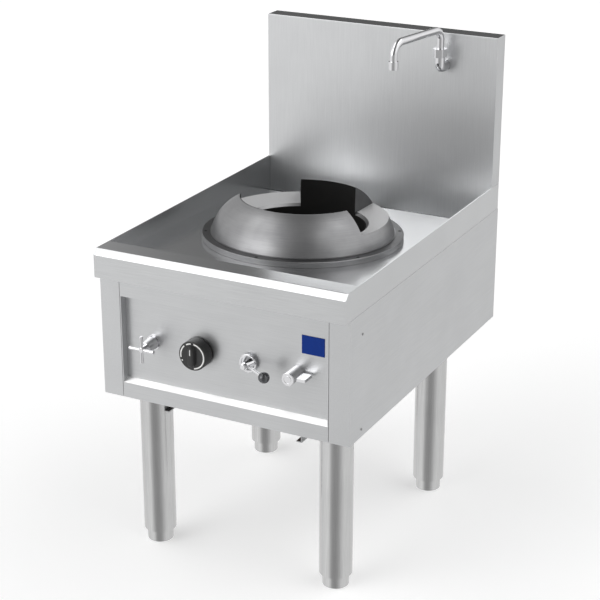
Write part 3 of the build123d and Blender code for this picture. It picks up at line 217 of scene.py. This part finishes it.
def stainlessSheet(name, grain, light="#dedfe0", dark="#d6d7d8", rough=(0.20, 0.26),
                   depthMm=0.008):
    # 304 stainless, rolled and belt brushed: reflections smear across soft, even streaks
    material, tree = newMaterial(name)
    place = addNode(tree, "ShaderNodeTexCoord").outputs["Object"]
    streak = addNode(tree, "ShaderNodeMapping",
                     {"Scale": [1 / (size * mm) for size in brushing["streakMm"][grain]]},
                     {"Vector": place})
    belt = addNode(tree, "ShaderNodeTexNoise", {"Scale": 1.0, "Detail": 3.0, "Roughness": 0.6},
                   {"Vector": streak.outputs[0]})
    cloud = addNode(tree, "ShaderNodeTexNoise",
                    {"Scale": 1 / (brushing["wipeMm"] * mm), "Detail": 2.0}, {"Vector": place})
    both = addNode(tree, "ShaderNodeMath",
                   {"operation": "MULTIPLY_ADD", 1: brushing["streakShare"]},
                   {0: belt.outputs[0], 2: cloud.outputs[0]})
    low, high = brushing["toneSpan"]
    tone = addNode(tree, "ShaderNodeMapRange", {"From Min": low, "From Max": high},
                   {"Value": both.outputs[0]})
    colour = addNode(tree, "ShaderNodeMix",
                     {"data_type": "RGBA", 6: hexColour(dark), 7: hexColour(light)},
                     {0: tone.outputs[0]})
    roughness = addNode(tree, "ShaderNodeMapRange",
                        {"From Min": low, "From Max": high, "To Min": rough[1],
                         "To Max": rough[0]}, {"Value": both.outputs[0]})
    bump = addNode(tree, "ShaderNodeBump", {"Strength": 1.0, "Distance": depthMm * mm},
                   {"Height": belt.outputs[0]})
    shader = addNode(tree, "ShaderNodeBsdfPrincipled", {"Metallic": 1.0},
                     {"Base Color": colour.outputs[2], "Roughness": roughness.outputs[0],
                      "Normal": bump.outputs[0]})
    addNode(tree, "ShaderNodeOutputMaterial", links={"Surface": shader.outputs[0]})
    return material


ring = {
    "centre": (0, -23.5, 686.42),  # mm, where the ring's axis meets the floor of the deck
    "tilt": 2.0,  # degrees, the deck falls to the back
    "paintedShadeRadius": 142.2,  # mm, everything nearer the axis is drawn near black: painted shade, the dark firebox as it shows in the steel
    "latheMm": 1.5,  # width of a turning mark, drawn coarse to show
    "latheTurn": 2.5,  # how often a mark changes, for each radian round the ring
    "latheDepthMm": 0.012,
    "latheShare": 0.5,  # turning marks against heat clouds in the tone
    "heatMm": 70,  # clouds left by the flame
    "toneSpan": (0.45, 1.05),
    "paintedShade": ("#141414", "#1e1d1c"),
    "paintedShadeRough": 0.75,
    "paintedShadeSpecular": 0.2,
    "ledgeRise": (30, 56),  # mm above the deck, where the ledges of the notches lie
}


def spunSteel(name, light="#aeaeaf", dark="#929294", rough=(0.36, 0.44)):
    # steel spun on a lathe and brushed as it turned: fine rings about the axis draw the
    # light out into bands, and the bore is painted near black as shade
    material, tree = newMaterial(name)
    place = addNode(tree, "ShaderNodeTexCoord").outputs["Object"]
    centred = addNode(tree, "ShaderNodeVectorMath",
                      {"operation": "SUBTRACT", 1: [v * mm for v in ring["centre"]]}, {0: place})
    level = addNode(tree, "ShaderNodeVectorRotate",
                    {"rotation_type": "X_AXIS", "Angle": math.radians(ring["tilt"])},
                    {"Vector": centred.outputs[0]})
    split = addNode(tree, "ShaderNodeSeparateXYZ", links={0: level.outputs[0]})
    flat = addNode(tree, "ShaderNodeCombineXYZ",
                   links={0: split.outputs[0], 1: split.outputs[1]})
    radius = addNode(tree, "ShaderNodeVectorMath", {"operation": "LENGTH"}, {0: flat.outputs[0]})
    turn = addNode(tree, "ShaderNodeMath", {"operation": "ARCTAN2"},
                   {0: split.outputs[1], 1: split.outputs[0]})
    around = addNode(tree, "ShaderNodeCombineXYZ",
                     links={0: radius.outputs["Value"], 1: split.outputs[2], 2: turn.outputs[0]})
    perMetre = 1 / (ring["latheMm"] * mm)
    lathe = addNode(tree, "ShaderNodeMapping",
                    {"Scale": (perMetre, perMetre, ring["latheTurn"])},
                    {"Vector": around.outputs[0]})
    rings = addNode(tree, "ShaderNodeTexNoise", {"Scale": 1.0, "Detail": 3.0, "Roughness": 0.6},
                    {"Vector": lathe.outputs[0]})
    cloud = addNode(tree, "ShaderNodeTexNoise",
                    {"Scale": 1 / (ring["heatMm"] * mm), "Detail": 3.0}, {"Vector": place})
    both = addNode(tree, "ShaderNodeMath", {"operation": "MULTIPLY_ADD", 1: ring["latheShare"]},
                   {0: rings.outputs[0], 2: cloud.outputs[0]})
    low, high = ring["toneSpan"]
    tone = addNode(tree, "ShaderNodeMapRange", {"From Min": low, "From Max": high},
                   {"Value": both.outputs[0]})
    colour = addNode(tree, "ShaderNodeMix",
                     {"data_type": "RGBA", 6: hexColour(dark), 7: hexColour(light)},
                     {0: tone.outputs[0]})
    roughness = addNode(tree, "ShaderNodeMapRange",
                        {"From Min": low, "From Max": high, "To Min": rough[1],
                         "To Max": rough[0]}, {"Value": both.outputs[0]})
    bump = addNode(tree, "ShaderNodeBump",
                   {"Strength": 1.0, "Distance": ring["latheDepthMm"] * mm},
                   {"Height": rings.outputs[0]})
    steel = addNode(tree, "ShaderNodeBsdfPrincipled", {"Metallic": 1.0},
                    {"Base Color": colour.outputs[2], "Roughness": roughness.outputs[0],
                     "Normal": bump.outputs[0]})
    # painted shade: inside the bore radius the ring is drawn near black, standing in for the dark
    # firebox
    paintedShadeDark, paintedShadeLight = ring["paintedShade"]
    paintedShade = addNode(tree, "ShaderNodeMix",
                   {"data_type": "RGBA", 6: hexColour(paintedShadeDark), 7: hexColour(paintedShadeLight)},
                   {0: tone.outputs[0]})
    paintedShadeBsdf = addNode(tree, "ShaderNodeBsdfPrincipled",
                    {"Roughness": ring["paintedShadeRough"], "Specular IOR Level": ring["paintedShadeSpecular"]},
                    {"Base Color": paintedShade.outputs[2]})
    inside = addNode(tree, "ShaderNodeMath",
                     {"operation": "LESS_THAN", 1: ring["paintedShadeRadius"] * mm},
                     {0: radius.outputs["Value"]})
    shader = addNode(tree, "ShaderNodeMixShader",
                     links={0: inside.outputs[0], 1: steel.outputs[0], 2: paintedShadeBsdf.outputs[0]})
    addNode(tree, "ShaderNodeOutputMaterial", links={"Surface": shader.outputs[0]})
    return material


grainSpan = (0.3, 0.7)  # the part of the noise that the roughness follows


def mottled(name, light, dark, grainMm, rough, metallic=0.0, depthMm=0.02, crown=None,
            specular=0.5):
    # one plain finish with the mottling of its own making, such as sand, mould or die marks
    material, tree = newMaterial(name)
    place = addNode(tree, "ShaderNodeTexCoord").outputs["Object"]
    grain = addNode(tree, "ShaderNodeTexNoise", {"Scale": 1 / (grainMm * mm), "Detail": 4.0},
                    {"Vector": place})
    colour = addNode(tree, "ShaderNodeMix",
                     {"data_type": "RGBA", 6: hexColour(dark), 7: hexColour(light)},
                     {0: grain.outputs[0]})
    low, high = grainSpan
    roughness = addNode(tree, "ShaderNodeMapRange",
                        {"From Min": low, "From Max": high, "To Min": rough[0],
                         "To Max": rough[1]}, {"Value": grain.outputs[0]})
    bump = addNode(tree, "ShaderNodeBump", {"Strength": 1.0, "Distance": depthMm * mm},
                   {"Height": grain.outputs[0]})
    facing = bump.outputs[0]
    if crown:
        # a crowned face: its shading leans this way, as over a rounded fold
        leant = addNode(tree, "ShaderNodeVectorMath", {"operation": "ADD", 1: crown},
                        {0: facing})
        facing = addNode(tree, "ShaderNodeVectorMath", {"operation": "NORMALIZE"},
                         {0: leant.outputs[0]}).outputs[0]
    shader = addNode(tree, "ShaderNodeBsdfPrincipled",
                     {"Metallic": metallic, "Specular IOR Level": specular},
                     {"Base Color": colour.outputs[2], "Roughness": roughness.outputs[0],
                      "Normal": facing})
    addNode(tree, "ShaderNodeOutputMaterial", links={"Surface": shader.outputs[0]})
    return material


# each finish, light and dark tone, grain in mm, roughness from its smoothest to its dullest
finishes = {
    # fine belt: the deck mirrors the splash and the ring, blurred across its width
    "deckSteel": stainlessSheet("brushed stainless, deck", "x"),
    # coarse belt: the splash, front and sides hold only broad soft tones
    "splashSteel": stainlessSheet("brushed stainless, splash", "z", rough=(0.36, 0.43)),
    "frontSteel": stainlessSheet("brushed stainless, front", "x", rough=(0.36, 0.42)),
    "sideSteel": stainlessSheet("brushed stainless, sides", "y", rough=(0.30, 0.36)),
    # the splash's top fold, rubbed smooth by hand: it takes the dark wall behind it, and its
    # colour, darker than the rest of the splash, is painted shade
    "shadedFoldSteel": stainlessSheet("brushed stainless, top fold, painted shade", "x", light="#b9babb",
                                dark="#a9aaab", rough=(0.14, 0.18)),
    # glass beads leave an even satin; the near-white colour is a painted highlight that makes the
    # ledge under the controls its brightest strip
    "litLedgeSteel": mottled("bead blasted stainless, painted highlight", "#fdfdfd", "#f6f6f6", 0.8, (0.34, 0.40),
                          metallic=1.0, depthMm=0.004, crown=(0, -0.6, 0)),
    # drawn through a die: one upright highlight on each leg, with a dark band beside it
    "tubeSteel": stainlessSheet("drawn stainless tube", "z", light="#e4e4e4", dark="#d6d6d6"),
    # straight from the rolls: grey and dull
    "hiddenSteel": stainlessSheet("mill finish stainless", "x", light="#c6c7c8",
                                  dark="#b0b1b2", rough=(0.34, 0.46)),
    # spun and brushed dome, and a darker copy of it, painted shade and dark reflection
    "ringSteel": spunSteel("spun steel"),
    "shadedSpunSteel": spunSteel("spun steel, painted shade", "#767677", "#636364"),
    # pale and dull, with no shine: a lighter copy for the upward ledges of the notches, painted
    # light
    "litNotchLedgeSteel": mottled("pale steel, painted light", "#dcdcdd", "#c4c4c5", 1.6, (0.5, 0.62),
                            metallic=0.2, depthMm=0.03),
    # scaled by the flame: black, dry and a little uneven
    "firebrickBlack": mottled("heat blackened steel", "#242322", "#121211", 6, (0.65, 0.85)),
    # grains of the moulding sand stand in its skin
    "castIron": mottled("sand cast iron", "#3a3938", "#242423", 2.2, (0.6, 0.8),
                        metallic=0.7, depthMm=0.08),
    # turned on a lathe: warm and fairly bright
    "brass": mottled("turned brass", "#c9a765", "#b08d4e", 8, (0.25, 0.38), metallic=1.0),
    # drawn soft tube: reddish, dulled by handling
    "copper": mottled("drawn copper tube", "#c98864", "#a86b4c", 12, (0.28, 0.42), metallic=1.0),
    # plated: a bluish grey with faint spangle
    "zinc": mottled("zinc plated steel", "#bfc3c4", "#a2a6a8", 7, (0.35, 0.5), metallic=1.0),
    # brushed-on gas yellow, half gloss
    "gasPipe": mottled("yellow painted pipe", "#d9b12c", "#c79d20", 9, (0.4, 0.55)),
    # plated over polished brass: nearly a mirror
    "chrome": mottled("polished chrome on brass", "#f4f4f6", "#ececee", 14, (0.04, 0.07),
                      metallic=1.0, depthMm=0.002),
    # oil blackened heads read as small dark dots on the flange
    "blackScrew": mottled("blackened steel screws", "#2e2e2e", "#1f1f1f", 3, (0.40, 0.55),
                          metallic=0.5),
    "screwSteel": mottled("plain steel screws", "#b4b4b4", "#8f8f8f", 3, (0.3, 0.42),
                          metallic=1.0),
    # moulded with a fine spark grain: a soft sheen on black
    "knobPlastic": mottled("moulded black phenolic", "#343434", "#2a2a2a", 0.9, (0.30, 0.40),
                           depthMm=0.01),
    # a thin coat of ink, matt and not quite even
    "whitePrint": mottled("white pad print", "#f2f2f0", "#e4e4e2", 1.2, (0.45, 0.55)),
    # moulded and tumbled to a gloss: one sharp light spot
    "ballPlastic": mottled("moulded grey ball", "#6a6b6d", "#58595b", 5, (0.14, 0.20),
                           metallic=0.7, depthMm=0.004),
    # fired enamel, flatted so that the blue stays deep
    "blueEnamel": mottled("blue enamelled plate", "#07348a", "#052d7c", 9, (0.50, 0.58),
                          depthMm=0.003, specular=0.15),
}
print("finishes ready:", len(finishes))

wears = {
    "deckSteel": ["worktop"],
    "splashSteel": ["backsplash", "back_panel"],
    "frontSteel": ["front_bezel", "control_panel"],
    "sideSteel": ["side_panel_left", "side_panel_right"],
    "tubeSteel": ["leg_front_left", "leg_front_right", "leg_rear_left", "leg_rear_right",
                  "foot_front_left", "foot_front_right", "foot_rear_left", "foot_rear_right"],
    "hiddenSteel": ["base_frame", "burner_rails", "leg_plates", "heat_shield",
                    "burner_bracket", "drain_body", "drain_strainer", "water_pipe",
                    "rinse_pipe", "spout_pipe"],
    "ringSteel": ["wok_ring", "ring_flange"],
    "firebrickBlack": ["firebox"],
    "castIron": ["burner_body", "burner_cap"],
    "brass": ["injector", "gas_valve", "valve_spindle", "pilot_burner"],
    "copper": ["feed_pipe", "pilot_pipe", "flame_sensor"],
    "zinc": ["air_shutter"],
    "gasPipe": ["gas_pipe"],
    "chrome": ["cross_tap_body", "cross_handle", "lever_tap_body", "lever_hub", "lever_rod",
               "wing_tap_body", "wing_handle", "spout_elbow", "spout_backnut", "swivel_nut",
               "spout_tube", "spout_sleeve"],
    "blackScrew": ["flange_screws"],
    "screwSteel": ["side_screws", "leg_bolts", "leg_nuts", "leg_plugs"],
    "knobPlastic": ["gas_knob"],
    "whitePrint": ["knob_marks"],
    "ballPlastic": ["lever_ball"],
    "blueEnamel": ["badge_plate"],
}
for finish, names in wears.items():
    for name in names:
        mesh = nodes[name].data
        mesh.materials.clear()
        mesh.materials.append(finishes[finish])
print("nodes dressed:", sum(len(names) for names in wears.values()))


def finishFaces(name, extraFinishes, choose):
    # some faces of a piece take lighter and darker copies of a finish, painted light and shade:
    # choose gives 0 for its own finish, or 1, 2 and so on for the extra ones
    mesh = nodes[name].data
    for finish in extraFinishes:
        mesh.materials.append(finishes[finish])
    for face in mesh.polygons:
        face.material_index = choose(face)


# how squarely a face has to look along an axis to count as one that faces it
squareness = {"ledge": 0.5, "fold": 0.9, "notchLedge": 0.85, "endPlate": 0.9, "flangeTop": 0.9}
ringCentre = Vector(ring["centre"]) * mm
ringTilt = math.radians(ring["tilt"])
ringAxis = Vector((0, math.sin(ringTilt), math.cos(ringTilt)))


def ringFinish(face):
    # the upward ledges in the notches take the pale copy, painted light, and their end plates
    # the darker copy of the spun steel, painted shade
    spot = face.center - ringCentre
    rise = spot.dot(ringAxis)
    outward = (spot - rise * ringAxis).normalized()
    if abs(face.normal.dot(ringAxis.cross(outward))) > squareness["endPlate"]:
        # the end plates take the darker copy: painted shade
        return 2
    low, high = ring["ledgeRise"]
    level = face.normal.dot(ringAxis) > squareness["notchLedge"]
    return int(level and low * mm < rise < high * mm)


# painted highlight: the bezel's upward faces take the near-white ledge copy
finishFaces("front_bezel", ["litLedgeSteel"],
            lambda face: int(face.normal.z > squareness["ledge"]))
# painted shade: the splash's upward faces take the darker fold copy
finishFaces("backsplash", ["shadedFoldSteel"],
            lambda face: int(face.normal.z > squareness["fold"]))
finishFaces("wok_ring", ["litNotchLedgeSteel", "shadedSpunSteel"], ringFinish)
# the flange's upper face takes the darker copy, a painted dark reflection, and its rim keeps
# the plain spun steel
finishFaces("ring_flange", ["shadedSpunSteel"],
            lambda face: int(face.normal.dot(ringAxis) > squareness["flangeTop"]))
print("folds, ledges and flange finished")
